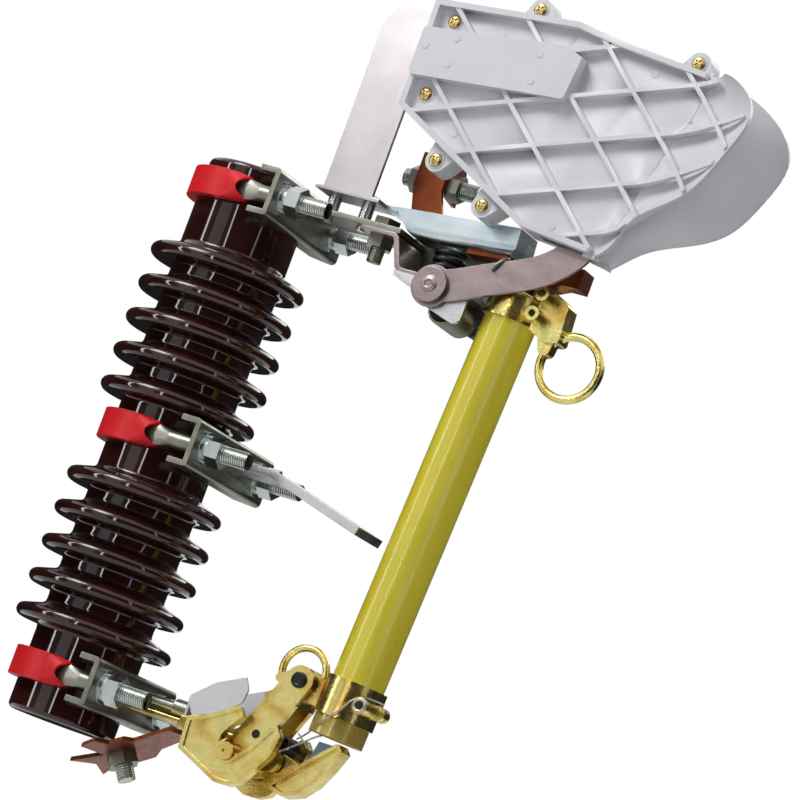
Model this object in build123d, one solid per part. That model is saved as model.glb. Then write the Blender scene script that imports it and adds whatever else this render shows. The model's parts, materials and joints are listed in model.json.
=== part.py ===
from build123d import *
import os
from math import atan2, cos, degrees, hypot, radians, sin, tan

os.makedirs("parts", exist_ok=True)

# Drop-out fuse cutout with a load-break lever and an arc chute.
# The model is laid out about the insulator: Z runs up its axis from mid-height, X points from
# the insulator to the fuse tube, and Y points to the far side. At the end everything is moved
# so that the origin lies on the flat face of the mounting plate. All sizes are in millimetres.

# Porcelain insulator
insulator_length = 400.0
core_radius = 38.0
shed_radius = 55.5
shed_pitch = 24.6
sheds_per_group = 5
shed_group_gap = 65.6
shed_rim = 9.5
shed_root = 15.0
shed_droop = 3.5
root_fillet = 4.0
end_rounding = 4.0

# Clamps that grip the insulator
clamp_inset_top = 19.5
clamp_inset_bottom = 31.5
middle_clamp_z = 3.0
strap_thickness = 4.0
strap_height = 17.0
strap_straight = 8.0
strap_flare = 20.0
sleeve_thickness = 1.6
sleeve_gap = 0.1
rod_radius = 5.7
rod_reach = 35.0
channel_length = 117.0
channel_height = 34.0
channel_depth = 16.0
channel_wall = 4.0
channel_corner = 3.5
channel_trim = 12.0
outer_web_x = 45.0
middle_web_x = 54.5
porcelain_gap = 0.3
rod_hole_gap = 0.6
washer_radius = 12.0
washer_thickness = 2.5
lock_washer_radius = 9.5
lock_washer_thickness = 3.0
nut_flats = 19.0
nut_height = 10.0
nut_gap = 0.25

# Mounting plate
mount_width = 40.0
mount_thickness = 6.0
mount_flat = 42.0
mount_slope = 15.0
mount_tail = 78.0
mount_hole_radius = 6.75
mount_hole_pitch = 40.0
mount_hole_inset = 14.0

# Upper support, chute plate and arm
support_width = 40.0
support_thickness = 4.0
support_reach = 80.0
support_rise = 2.0
foot_gap = 11.0
foot_thickness = 3.0
foot_start = 11.0
foot_length = 50.0
foot_width = 30.0
chute_plate_width = 38.0
chute_plate_height = 138.0
chute_plate_inset = 6.0
chute_plate_corner = 22.0
chute_tab_length = 95.0
chute_tab_height = 30.0
chute_tab_rise = 90.0
plate_thickness = 3.0
small_bolt_radius = 3.0
small_bolt_head = 5.5
small_bolt_cap = 3.5
small_bolt_inset = 9.0
small_bolt_pitch = 26.0
arm_reach = 162.0
arm_width = 30.0
arm_wall = 2.5
arm_corner = 7.0
arm_tongue = 6.0
arm_bow = 17.0
arm_end = 5.0
arm_depth = 18.8
arm_tilt = 4.5
arm_sweep = 14.0

# Lever strap, bracket and pivot
strap_width = 42.0
strap_gauge = 3.0
strap_start = 51.0
strap_bend = 80.0
strap_drop = 22.0
strap_slant = 9.0
strap_foot = 42.0
strap_bolt_inset = 58.0
strap_bolt_radius = 5.0
strap_bolt_flats = 17.0
strap_bolt_head = 7.0
strap_bolt_tail = 10.0
cheek_gauge = 3.0
pivot_radius = 4.5
pivot_hub = 14.6
pivot_washer = 12.7
pivot_from_web = 119.5
pivot_drop = 29.5

# Load-break lever
lever_gauge = 3.0
lever_width = 22.0
lever_gap = 1.0
pivot_running_gap = 0.05

# Contact spring
spring_radius = 11.5
spring_wire = 2.0
spring_turns = 4
spring_seat_gap = 0.3
spring_from_web = 112.0

# Arc chute, its side view given from the chute's lower back corner
chute_from_web = 57.0
chute_half = 16.0
chute_face = 9.0
chute_floor = 2.4
chute_rim = 4.0
chute_block = 3.0
chute_block_corner = 3.0
flare_edge = 4.0
chute_lug = 8.0
chute_rib = 3.0
chute_rib_drop = 0.8
chute_rib_span = 700.0
chute_ribs = ((18.2, -38.0, 32.0), (-42.0, 78.0, 37.7))
chute_back = [(0, 66), (0, 143), (107, 150), (140, 144)]
chute_throat = [(206, 136.5), (206.5, 121), (204, 106), (197, 88), (188, 58), (182.5, 33), (175, 15), (167, 1.5)]
chute_base = [(115, 7)]
chute_mouth = [(219, 135.5, 16), (244, 126.5, 34), (257, 106.5, 43), (253, 86.5, 46), (239, 56.5, 45),
               (219, 38, 42), (196, 24, 30), (175, 0.5, 16)]
chute_lugs = ((73.5, 153.3, 73, 142), (195.7, 142.6, 193, 131), (38, 36.7, 46, 52), (82, 14.5, 90, 28))
flare_root = 4.0
flare_sink = 0.4
flare_bend = 0.55
gate_back = 42.0
gate_front = 66.0
gate_height = 40.0
chute_gate = 6.5

# Fuse holder
tube_radius = 18.0
tube_wall = 4.0
tube_tilt = 3.2
tube_from_web = 170.2
tube_below_support = 34.5
cap_radius = 20.0
cap_height = 20.0
cap_overlap = 4.0
cap_dome = 3.0
cap_plate = 8.0
cap_bosses = ((21.3, 7.9), (22.7, 22.4))
cap_boss = 5.0
cap_boss_reach = 19.5
cap_button = 4.0
cap_button_radius = 9.0
ring_radius = 21.5
ring_wire = 3.0
ring_drop = 16.0
ring_out = 53.0
clamp_height = 26.0
clamp_above = 30.5
clamp_radius = 20.8
clamp_lug = 5.0
clamp_split = 1.5
sleeve_below = 12.0
sleeve_radius = 18.9
boss_radius = 5.0
boss_reach = 0.5
boss_x = 17.0
eye_radius = 16.0
eye_wire = 2.5
eye_back = 6.0
eye_rise = 7.0

# Trunnion, link and lower hooks, placed from the lower clamp
trunnion_from_web = 94.5
trunnion_below = 13.1
trunnion_radius = 6.0
pin_proud = 2.0
pin_dimple = 1.2
hook_inner = 20.0
hook_gauge = 7.0
hook_rim = 3.0
hook_recess = 1.5
hook_socket = 2.5
hook_slant = 58.0
hook_slot_gap = 0.05
bracket_bar = 12.0
bracket_block = 12.0
bracket_bolt_radius = 4.0
bracket_spacer = 12.0
bracket_spacer_radius = 6.5
link_inner = 9.5
link_gauge = 5.0
link_hub = 10.5
ear_radius = 10.0
ear_out = 26.5
ear_above = 46.9
ear_pin = 4.0

# Flip lever
flip_out = 25.5
flip_below = 8.5
flip_pin = 3.0
flip_hub = 7.0
flip_half = 7.5
flip_rim = 2.5
flip_web = 4.0

# Terminals and upper contact
copper_gauge = 3.0
contact_half = 9.0
contact_gap = 0.8
terminal_start = 65.0
terminal_width = 22.0
terminal_height = 62.0
terminal_y = 2.0
terminal_ear = 28.0
terminal_foot = (8.5, 36.5)
terminal_cut = 20.0
terminal_bolt = 6.0
terminal_bolt_drop = 22.0
terminal_nut = 8.0
terminal_flats = 17.0
terminal_right = 44.0
terminal_flat = 8.0
terminal_below = -1.0
terminal_span = 45.0
tail_run = 70.0
tail_drop = 50.0
tail_bolt = 0.5


# Shared shapes

def prism(outline, low_y, high_y):
    """Outline drawn in X and Z, made solid between two Y values."""
    side = Plane((0, high_y, 0), x_dir=(1, 0, 0), z_dir=(0, -1, 0))
    return extrude(side * outline, high_y - low_y)


def loop(*points):
    """Closed outline through points."""
    return make_face(Polyline(*points, close=True))


def rounded(outline, radius, keep):
    """Outline with the corners that keep() picks rounded."""
    return fillet([v for v in outline.vertices() if keep(v)], radius)


def rod_x(x_low, x_high, y, z, radius):
    """Round bar along X."""
    return Pos(x_low, y, z) * Rot(0, 90, 0) * Cylinder(
        radius, x_high - x_low, align=(Align.CENTER, Align.CENTER, Align.MIN))


def rod_y(y_low, y_high, x, z, radius):
    """Round bar along Y."""
    return Pos(x, y_low, z) * Rot(-90, 0, 0) * Cylinder(
        radius, y_high - y_low, align=(Align.CENTER, Align.CENTER, Align.MIN))


def rod_z(z_low, z_high, x, y, radius):
    """Round bar along Z."""
    return Pos(x, y, z_low) * Cylinder(
        radius, z_high - z_low, align=(Align.CENTER, Align.CENTER, Align.MIN))


def hexagon(flats, height):
    """Hexagonal prism standing on its base."""
    return extrude(RegularPolygon(flats / 2, 6, major_radius=False), height)


def box(x_low, x_high, y_low, y_high, z_low, z_high):
    """Block between two corners."""
    return Pos(x_low, y_low, z_low) * Box(
        x_high - x_low, y_high - y_low, z_high - z_low, align=(Align.MIN,) * 3)


def hull(*circles):
    """Outline round circles given as x, z and radius."""
    return make_hull([e for x, z, r in circles for e in (Pos(x, z) * Circle(r)).edges()])


# Places that several pieces share
upper_z = insulator_length / 2 - clamp_inset_top
lower_z = clamp_inset_bottom - insulator_length / 2
hoop_radius = core_radius + porcelain_gap + sleeve_thickness + sleeve_gap + strap_thickness / 2
support_z = upper_z + support_rise
foot_z = support_z + support_thickness + foot_gap
mount_turn_x = middle_web_x + mount_flat
mount_face_z = middle_clamp_z + mount_thickness / 2
mount_centre = mount_tail - mount_hole_inset - mount_hole_pitch / 2
origin_x = mount_turn_x + mount_centre * cos(radians(mount_slope))
origin_z = mount_face_z - mount_centre * sin(radians(mount_slope))
pivot_x = outer_web_x + pivot_from_web
pivot_z = support_z - pivot_drop
cheek_near = -strap_width / 2 - cheek_gauge
lever_back = cheek_near - lever_gap
lever_front = lever_back - lever_gauge
lever_mid = (lever_back + lever_front) / 2
plate_far = lever_mid + plate_thickness / 2
plate_near = lever_mid - plate_thickness / 2
chute_x = outer_web_x + chute_from_web
tube_x = outer_web_x + tube_from_web
tube_top_z = support_z - tube_below_support
clamp_z = lower_z + clamp_above
link_outer = link_inner + link_gauge
hook_outer = hook_inner + hook_gauge
trunnion_x = outer_web_x + trunnion_from_web
trunnion_z = lower_z - trunnion_below
ear_x = trunnion_x + ear_out
ear_z = lower_z + ear_above
flip_x = trunnion_x + flip_out
flip_z = lower_z - flip_below
arm_start = outer_web_x + foot_start + foot_length
strap_top = support_z
strap_low = strap_top - strap_drop
terminal_low = trunnion_z - terminal_below


# Insulator and clamps

def insulator():
    """Porcelain column with two groups of sheds, turned from one profile."""
    half = insulator_length / 2
    column = loop((0, -half), (core_radius, -half), (core_radius, half), (0, half))
    column = rounded(column, end_rounding, lambda v: v.X > core_radius / 2)
    inner = shed_group_gap / 2
    rim_x = shed_radius - shed_rim / 2
    root_x = core_radius - shed_root / 2
    profile = column
    for side in (-1, 1):
        for i in range(sheds_per_group):
            z = side * (inner + i * shed_pitch)
            profile += hull((rim_x, z - shed_droop, shed_rim / 2), (root_x, z, shed_root / 2))
    roots = lambda v: abs(v.X - core_radius) < 0.01 and abs(v.Y) < half - 2 * end_rounding
    profile = rounded(profile, root_fillet, roots)
    return revolve(Plane.XZ * profile, Axis.Z)


def hoop(z, web_x):
    """Clamp strap round the back of the porcelain, drawn out into two threaded rods."""
    low, high = hoop_radius - strap_thickness / 2, hoop_radius + strap_thickness / 2
    plan = Circle(high) - Circle(low)
    plan = plan & (Pos(-high, 0) * Rectangle(2 * high, 4 * high))
    strap = extrude(plan, strap_height)
    part = Pos(0, 0, z - strap_height / 2) * strap
    tip = web_x + rod_reach
    for side in (-1, 1):
        y = side * hoop_radius
        part += box(0, strap_straight, y - strap_thickness / 2, y + strap_thickness / 2,
                    z - strap_height / 2, z + strap_height / 2)
        flat = Plane((strap_straight, y, z), x_dir=(0, 1, 0), z_dir=(1, 0, 0))
        round_end = flat.offset(strap_flare)
        part += loft([flat * Rectangle(strap_thickness, strap_height), round_end * Circle(rod_radius)])
        part += rod_x(strap_straight + strap_flare, tip, y, z, rod_radius)
    return part


def sleeve(z):
    """Soft cover over the flat part of a hoop."""
    skin = sleeve_thickness + sleeve_gap
    low, high = hoop_radius - strap_thickness / 2, hoop_radius + strap_thickness / 2
    outer = Circle(high + skin) - Circle(low - skin)
    inner = Circle(high + sleeve_gap) - Circle(low - sleeve_gap)
    back = Pos(-high, 0) * Rectangle(2 * high, 4 * high)
    tall = strap_height + 2 * skin
    part = extrude(outer & back, tall)
    part -= Pos(0, 0, sleeve_thickness) * extrude(inner & back, strap_height + 2 * sleeve_gap)
    return Pos(0, 0, z - tall / 2) * part


def channel(z, web_x):
    """Pressed steel channel across the front of the porcelain."""
    back = web_x - channel_depth
    half = channel_height / 2
    outer = loop((back, z - half), (web_x, z - half), (web_x, z + half), (back, z + half))
    outer = rounded(outer, channel_corner, lambda v: v.X > web_x - 1)
    inner = loop((back - 1, z - half + channel_wall), (web_x - channel_wall, z - half + channel_wall),
                 (web_x - channel_wall, z + half - channel_wall), (back - 1, z + half - channel_wall))
    end = channel_length / 2
    part = prism(outer - inner, -end, end)
    part -= rod_z(z - channel_height, z + channel_height, 0, 0, core_radius + porcelain_gap)
    for side in (-1, 1):
        part -= rod_x(back, web_x + 1, side * hoop_radius, z, rod_radius + rod_hole_gap)
    trim = make_face(Polyline((back - 1, end + 1), (back - 1, end - channel_trim),
                              (back + channel_trim, end + 1), close=True))
    part -= Pos(0, 0, z - channel_height) * extrude(trim, 2 * channel_height)
    return part


def clamp_nuts(z, web_x):
    """Washer, lock washer and nut on each rod, against the channel's web."""
    nuts = []
    for side in (-1, 1):
        y = side * hoop_radius
        nut_x = web_x + washer_thickness + lock_washer_thickness
        stack = rod_x(web_x, web_x + washer_thickness, y, z, washer_radius)
        stack += rod_x(web_x + washer_thickness, nut_x, y, z, lock_washer_radius)
        stack += Pos(nut_x, y, z) * Rot(0, 90, 0) * hexagon(nut_flats, nut_height)
        stack -= rod_x(web_x - 1, nut_x + nut_height + 1, y, z, rod_radius + nut_gap)
        nuts.append(stack)
    return Compound(nuts)


# Mounting plate

def mounting_plate():
    """Flat bar welded to the middle web and bent down, with two bolt holes."""
    c, s = cos(radians(mount_slope)), sin(radians(mount_slope))
    top = mount_face_z
    low = top - mount_thickness
    turn = mount_turn_x
    kink = mount_thickness * tan(radians(mount_slope / 2))
    side = loop((middle_web_x, low), (turn - kink, low),
                (turn + mount_tail * c - mount_thickness * s, top - mount_tail * s - mount_thickness * c),
                (turn + mount_tail * c, top - mount_tail * s), (turn, top), (middle_web_x, top))
    part = prism(side, -mount_width / 2, mount_width / 2)
    for place in (-0.5, 0.5):
        reach = mount_centre + place * mount_hole_pitch
        hole = Cylinder(mount_hole_radius, 4 * mount_thickness)
        part -= Pos(turn + reach * c, 0, top - reach * s) * Rot(0, mount_slope, 0) * hole
    return part


# Upper support

def support_plate():
    """Flat bar from the upper channel that carries the contacts."""
    x_end = outer_web_x + support_reach
    half = support_width / 2
    part = box(outer_web_x, x_end, -half, half, support_z, support_z + support_thickness)
    for x in small_bolt_places():
        part -= rod_z(support_z - 1, foot_z, x, -half + small_bolt_inset, small_bolt_radius + 0.1)
    hole_x = outer_web_x + strap_bolt_inset
    part -= rod_z(support_z - 1, foot_z, hole_x, 0, strap_bolt_radius + 0.2)
    return part


def small_bolt_places():
    """X of the two small bolts under the chute plate's foot."""
    first = outer_web_x + foot_start + small_bolt_inset
    return (first, first + small_bolt_pitch)


def chute_tab(gap):
    """Tongue of the chute plate that lies between the chute's halves, grown by a gap."""
    left = outer_web_x + foot_start + chute_plate_inset + chute_plate_width - chute_plate_corner
    low = foot_z + chute_tab_rise
    right = left + chute_plate_corner + chute_tab_length
    return loop((left, low - gap), (right + gap, low - gap), (right + gap, low + chute_tab_height + gap),
                (left, low + chute_tab_height + gap))


def chute_plate():
    """Upright plate that carries the chute, with its foot folded to the far side."""
    x0 = outer_web_x + foot_start
    x1 = x0 + foot_length
    left = x0 + chute_plate_inset
    right = left + chute_plate_width
    top = foot_z + chute_plate_height
    upright = loop((left, foot_z), (right, foot_z), (right, top), (left, top))
    upright = rounded(upright, chute_plate_corner, lambda v: v.X < left + 1 and v.Y > top - 1)
    part = prism(upright + chute_tab(0), plate_near, plate_far)
    foot = box(x0, x1, plate_near, plate_near + foot_width, foot_z, foot_z + foot_thickness)
    part += foot
    y = -support_width / 2 + small_bolt_inset
    for x in small_bolt_places():
        part -= rod_z(foot_z - 1, foot_z + foot_thickness + 1, x, y, small_bolt_radius + 0.1)
    return part


def support_bolts():
    """Two small bolts that hold the foot above the support plate."""
    y = -support_width / 2 + small_bolt_inset
    low = support_z - small_bolt_cap
    high = foot_z + foot_thickness
    bolts = []
    for x in small_bolt_places():
        bolt = rod_z(low, high + small_bolt_cap, x, y, small_bolt_radius)
        bolt += rod_z(high, high + small_bolt_cap, x, y, small_bolt_head)
        bolt += rod_z(support_z + support_thickness, foot_z, x, y, small_bolt_head - 1)
        bolts.append(bolt)
    return Compound(bolts)


def upper_arm():
    """Deep-drawn trough that rises from the foot's level over the fuse tube's cap."""
    rim = foot_z + foot_thickness
    bow = arm_start + arm_tongue
    floor = rim - arm_depth
    end = outer_web_x + arm_reach
    open_side = loop((bow, 2 * rim - floor), (bow, rim), (bow + arm_bow, floor), (end - arm_end, floor),
                     (end, floor + arm_end), (end, 2 * rim - floor))
    open_side = rounded(open_side, arm_sweep, lambda v: v.Y < floor + 1 and v.X < end - 2 * arm_end)
    face = Plane((arm_start, 0, rim), x_dir=(0, 1, 0), z_dir=(1, 0, 0))
    shell = solid_trough(open_side, face, arm_width, arm_depth, end - arm_start)
    hollow = solid_trough(offset(open_side, -arm_wall), face, arm_width - 2 * arm_wall,
                          arm_depth - arm_wall, end - arm_start)
    part = shell - hollow
    part &= box(arm_start, end + 1, -arm_width, arm_width, floor - 1, rim)
    part = Pos(arm_start, 0, rim) * Rot(0, -arm_tilt, 0) * Pos(-arm_start, 0, -rim) * part
    part += box(arm_start, bow + arm_wall, -arm_width / 2, arm_width / 2, rim - foot_thickness, rim)
    return part - rod_z(floor - 1, rim, spring_x(), 0, strap_bolt_radius + 0.2)


def arm_under(x):
    """Height of the arm's underside at a place along X."""
    slope = radians(arm_tilt)
    return foot_z + foot_thickness + (x - arm_start) * tan(slope) - arm_depth / cos(slope)


def solid_trough(side, face, width, depth, length):
    """Side view given width, with its two lower edges rounded."""
    section = RectangleRounded(width, 4 * depth, min(arm_corner, width / 4))
    bar = extrude(face * Pos(0, depth) * section, length)
    return prism(side, -width / 2, width / 2) & bar


def spring_x():
    """X of the contact spring's axis."""
    return outer_web_x + spring_from_web


def contact_spring():
    """Stout coil spring under the arm that presses the contact down."""
    low = strap_low + spring_wire + spring_seat_gap
    high = arm_under(spring_x() - spring_radius) - spring_wire - spring_seat_gap
    pitch = (high - low) / spring_turns
    path = Helix(pitch, high - low, spring_radius - spring_wire)
    start = path @ 0
    coil = sweep(Plane(start, z_dir=path % 0) * Circle(spring_wire), path=path)
    return Pos(spring_x(), 0, low) * coil


# Lever strap and bracket

def lever_strap():
    """Bent strap under the support plate that slants down to the lever's bracket."""
    x0 = outer_web_x + strap_start
    x1 = outer_web_x + strap_bend
    x2 = x1 + strap_foot
    t = strap_gauge
    side = loop((x0, strap_top - t), (x1 - t, strap_top - t), (x1 - t + strap_slant, strap_low - t),
                (x2, strap_low - t), (x2, strap_low), (x1 + strap_slant, strap_low), (x1, strap_top),
                (x0, strap_top))
    inner = [v for v in side.vertices() if abs(v.X - x1 + t) < 0.1 or abs(v.X - x1 - strap_slant) < 0.1]
    side = fillet(inner, t)
    outer = [v for v in side.vertices() if hypot(v.X - x1, v.Y - strap_top) < 0.1
             or hypot(v.X - x1 + t - strap_slant, v.Y - strap_low + t) < 0.1]
    part = prism(fillet(outer, 2 * t), -strap_width / 2, strap_width / 2)
    hole_x = outer_web_x + strap_bolt_inset
    return part - rod_z(strap_top - 2 * t, strap_top + 1, hole_x, 0, strap_bolt_radius + 0.2)


def strap_bolt():
    """Upright hex bolt that holds the strap under the support plate."""
    x = outer_web_x + strap_bolt_inset
    top = support_z + support_thickness
    low = strap_top - strap_gauge
    part = Pos(x, 0, top) * hexagon(strap_bolt_flats, strap_bolt_head)
    part += rod_z(low - strap_bolt_head - strap_bolt_tail, top, x, 0, strap_bolt_radius)
    part += Pos(x, 0, low - strap_bolt_head) * hexagon(strap_bolt_flats, strap_bolt_head)
    return part


def lever_bracket():
    """Two cheeks folded down from the strap's foot, with the pivot through them."""
    x1 = outer_web_x + strap_bend + 6
    x2 = pivot_x + 27
    low = strap_low - strap_gauge
    cheek = hull((pivot_x, pivot_z, pivot_hub - 1), (x2 - 6, pivot_z - 14, 6)) + loop(
        (x1, low), (pivot_x - 10, pivot_z - 5), (x2, pivot_z - 14), (x2, pivot_z), (x2 - 3, low))
    half = strap_width / 2
    part = Part()
    for near, far in ((cheek_near, -half), (half, -cheek_near)):
        part += prism(cheek, near, far)
    part += box(x1, x2 - 3, -half, half, low - strap_gauge, low)
    part -= rod_y(cheek_near - 1, -cheek_near + 1, pivot_x, pivot_z, pivot_radius)
    return part


def lever_pivot():
    """Pivot pin with a flat washer head in front of the lever."""
    part = rod_y(lever_front - pivot_running_gap, -cheek_near + 2, pivot_x, pivot_z, pivot_radius - 0.02)
    head = lever_front - 0.3
    part += rod_y(head - 2, head, pivot_x, pivot_z, pivot_washer)
    part += rod_y(head - 3.5, lever_front, pivot_x, pivot_z, pivot_radius - 0.02)
    part += rod_y(-cheek_near, -cheek_near + 2, pivot_x, pivot_z, pivot_radius + 3)
    return part


# Load-break lever

def load_break_lever():
    """Flat curved lever that draws the arc inside the chute."""
    mid = [(0, 0), (7.8, 1.9), (27.5, 9.5), (42.9, 15.9), (71, 28), (83.3, 37.2), (91.1, 45.7), (97, 58),
           (100, 70)]
    centre = Spline(*[(pivot_x + x, pivot_z + z) for x, z in mid])
    outline = trace(centre, lever_width) + Pos(pivot_x, pivot_z) * Circle(pivot_hub)
    part = prism(outline, lever_front, lever_back)
    part -= rod_y(lever_front - 1, lever_back + 1, pivot_x, pivot_z, pivot_radius + pivot_running_gap)
    return part


def chute_place(points):
    """Points of the chute's side view moved to their place."""
    return [(chute_x + x, foot_z + z) for x, z in points]


def chute_panel():
    """Side view of the flat part of the chute, up to the throat."""
    return loop(*chute_place(chute_back + chute_throat + chute_base))


def chute_inside():
    """Side view of the whole chute inside its rim, mouth included."""
    mouth = [(x, z) for x, z, half in chute_mouth]
    return offset(loop(*chute_place(chute_back + mouth + chute_base)), -chute_rim)


def flare_plane(i):
    """Plane through the throat and the mouth at one station, and the reach between them."""
    (x0, z0), (x1, z1, half) = chute_throat[i], chute_mouth[i]
    plane = Plane((chute_x + x0, lever_mid, foot_z + z0), x_dir=(x1 - x0, 0, z1 - z0),
                  z_dir=(z1 - z0, 0, x0 - x1))
    return plane, hypot(x1 - x0, z1 - z0), half


def flare_section(i, low, high, end_low, bend):
    """Curved strip from the throat to the mouth at one station, between two faces."""
    plane, reach, half = flare_plane(i)
    inner = Bezier((-flare_root, low), (bend * reach, low), (reach, half - end_low))
    outer = Bezier((reach, half), (bend * reach, high), (-flare_root, high))
    return plane * make_face([inner, Line(inner @ 1, outer @ 0), outer, Line(outer @ 1, inner @ 0)])


def flare_end(i, low, high):
    """Wall that closes the flare against the other half at its first or last station."""
    plane, reach, half = flare_plane(i)
    outer = Bezier((reach, half), (flare_bend * reach, chute_face), (-flare_root, chute_face))
    face = make_face([Polyline((-flare_root, chute_face), (-flare_root, 0), (reach, 0), (reach, half)), outer])
    return extrude(plane.offset(low) * face, high - low)


# Arc chute

def chute_shell():
    """Near half without ribs: floor, rim, screw lugs, flare and the gate for the lever."""
    panel = chute_panel()
    inside = chute_inside()
    part = prism(panel, lever_mid - chute_face, lever_mid - chute_face + chute_floor)
    part += prism(panel - inside, lever_mid - chute_half, lever_mid)
    lugs = Sketch()
    for x, z, toward_x, toward_z in chute_lugs:
        (lug_x, lug_z), (root_x, root_z) = chute_place([(x, z), (toward_x, toward_z)])
        lugs += hull((lug_x, lug_z, chute_lug), (root_x, root_z, 1.5 * chute_lug))
    part += prism(lugs - inside, lever_mid - chute_face, lever_mid)
    stations = range(len(chute_mouth))
    low, high = chute_face - chute_floor + flare_sink, chute_face - flare_sink
    part += loft([flare_section(i, low, high, flare_edge, flare_bend) for i in stations])
    part += flare_end(0, -chute_floor, flare_sink) + flare_end(-1, -flare_sink, chute_floor)
    part -= prism(chute_tab(0.3), plate_near - 0.3, plate_far + 0.3)
    gate_x = chute_x + chute_throat[-1][0]
    part -= box(gate_x - gate_back, gate_x + gate_front, lever_mid - chute_gate, lever_mid + chute_gate,
                foot_z - gate_height, foot_z + gate_height)
    return part


def chute_near():
    """Near half of the chute, with the block and the diagonal ribs."""
    strips = Sketch()
    for slope, first, pitch in chute_ribs:
        for i in range(5):
            strips += Pos(chute_x, foot_z) * Rot(0, 0, slope) * Pos(0, first + i * pitch) * Rectangle(
                chute_rib_span, chute_rib)
    strips &= chute_inside()
    top = chute_half - chute_rib_drop
    part = chute_shell()
    part += prism(strips & chute_panel(), lever_mid - top, lever_mid - chute_face + flare_sink)
    skin = loft([flare_section(i, chute_face - chute_floor / 2, top, chute_floor / 2, flare_bend / 2)
                 for i in range(len(chute_mouth))])
    part += skin & prism(strips, lever_mid - 2 * chute_mouth[3][2], lever_mid - chute_face + chute_floor)
    block = loop(*chute_place([(0, 87.5), (0, 122.5), (12, 122.7), (103.6, 131.3), (118.8, 126.2),
                               (115.4, 95.4), (105, 95.1)]))
    block = rounded(block, chute_block_corner, lambda v: v.Y < foot_z + 96 or v.X < chute_x + 1)
    part += prism(block, lever_mid - chute_half - chute_block, lever_mid - chute_face + flare_sink)
    return part


def chute_far():
    """Far half of the chute, the near half's shell mirrored in the parting plane."""
    return mirror(chute_shell(), about=Plane((0, lever_mid, 0), x_dir=(1, 0, 0), z_dir=(0, 1, 0)))


# Fuse holder

def along_tube(part):
    """Moves a piece drawn about an upright tube axis to the tube's own place."""
    return Pos(tube_x, 0, tube_top_z) * Rot(0, tube_tilt, 0) * part


def tube_bottom():
    """Height of the tube's lower end below its top, along the tube."""
    return (clamp_z - sleeve_below - tube_top_z) / cos(radians(tube_tilt))


def fuse_tube():
    """Insulating tube that holds the fuse link."""
    low = tube_bottom()
    part = rod_z(low, cap_overlap, 0, 0, tube_radius) - rod_z(low - 1, cap_overlap + 1, 0, 0,
                                                             tube_radius - tube_wall)
    return along_tube(part)


def tube_cap():
    """Upper casting: cap over the tube, bossed plate and pull ring."""
    part = rod_z(0, cap_height, 0, 0, cap_radius)
    part = fillet(part.faces().sort_by(Axis.Z)[-1].edges(), cap_dome)
    plate = loop((10, 2), (30, -6), (42, -4), (39, 22), (28, 27), (8, cap_height - 1))
    part += prism(rounded(plate, cap_dome, lambda v: v.X > cap_radius), -cap_plate, cap_plate)
    span = hypot(ring_out, ring_drop)
    near = (span - ring_radius) / span
    part += prism(hull((30, 4, 8), (ring_out * near, -ring_drop * near, 4.5)), -5, 5)
    part += Pos(ring_out, 0, -ring_drop) * Rot(90, 0, 0) * Torus(ring_radius, ring_wire)
    for x, z in cap_bosses:
        part += rod_y(-cap_boss_reach, cap_boss_reach, x, z, cap_boss)
        part -= rod_y(-cap_boss_reach - 1, cap_boss_reach + 1, x, z, cap_boss / 2)
    part -= rod_z(-2 * cap_height, cap_overlap + 0.2, 0, 0, tube_radius + 0.1)
    return along_tube(part)


def cap_contact():
    """Copper button on the cap that meets the upper contact."""
    return along_tube(rod_z(cap_height, cap_height + cap_button, 0, 0, cap_button_radius))


def clamp_neck(gap):
    """Side view of the neck from the clamp to the ear, grown by a gap."""
    reach = tube_x - (tube_top_z - clamp_z) * tan(radians(tube_tilt)) - clamp_radius
    neck = hull((ear_x, ear_z, ear_radius + gap), (reach, clamp_z + clamp_height / 2, 9 + gap))
    return neck + hull((ear_x, ear_z, ear_radius + gap), (ear_x - 18, ear_z - 2, 2.6 + gap))


def tube_clamp():
    """Lower casting: split clamp round the tube, screw boss, side lug and a neck to the ear."""
    drop = clamp_z - tube_top_z
    mid = drop + clamp_height / 2
    body = rod_z(drop, drop + clamp_height, 0, 0, clamp_radius)
    body += rod_y(-clamp_radius - boss_reach, 0, boss_x, mid, boss_radius)
    body += rod_y(-clamp_lug, clamp_lug, clamp_radius + clamp_lug / 2, mid, clamp_lug)
    body -= box(tube_radius, clamp_radius + 2 * clamp_lug, -clamp_split / 2, clamp_split / 2,
                drop - 1, drop + clamp_height + 1)
    body = along_tube(body)
    body += prism(clamp_neck(0), -link_inner + 0.5, link_inner - 0.5)
    body -= along_tube(rod_z(drop - 1, drop + clamp_height + 1, 0, 0, tube_radius + 0.1))
    body -= rod_y(-link_outer, link_outer, ear_x, ear_z, ear_pin + 0.05)
    return body


def end_sleeve():
    """Short collar on the tube's lower end."""
    low = tube_bottom()
    high = clamp_z - tube_top_z - 0.3
    part = rod_z(low - 1, high, 0, 0, sleeve_radius) - rod_z(low - 2, high + 1, 0, 0, tube_radius + 0.1)
    return along_tube(part)


def lifting_loop():
    """Wire eye over the ear."""
    eye = Pos(ear_x - eye_back, 0, ear_z + eye_rise) * Rot(90, 0, 0) * Torus(eye_radius, eye_wire)
    span = eye_radius + 2 * eye_wire
    eye &= box(ear_x - eye_back - span, ear_x - eye_back + span, -span, span, ear_z - 2, ear_z + 2 * span)
    return eye - prism(clamp_neck(0.1), -link_inner, link_inner)


def ear_rivet():
    """Hollow rivet through the link and the tube clamp's ear."""
    end = link_outer + 1.5
    part = rod_y(-end, end, ear_x, ear_z, ear_pin)
    for low, high in ((-end, -link_outer), (link_outer, end)):
        part += rod_y(low, high, ear_x, ear_z, ear_pin + 1.5)
    return part - rod_y(-end - 1, end + 1, ear_x, ear_z, ear_pin / 2)


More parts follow.
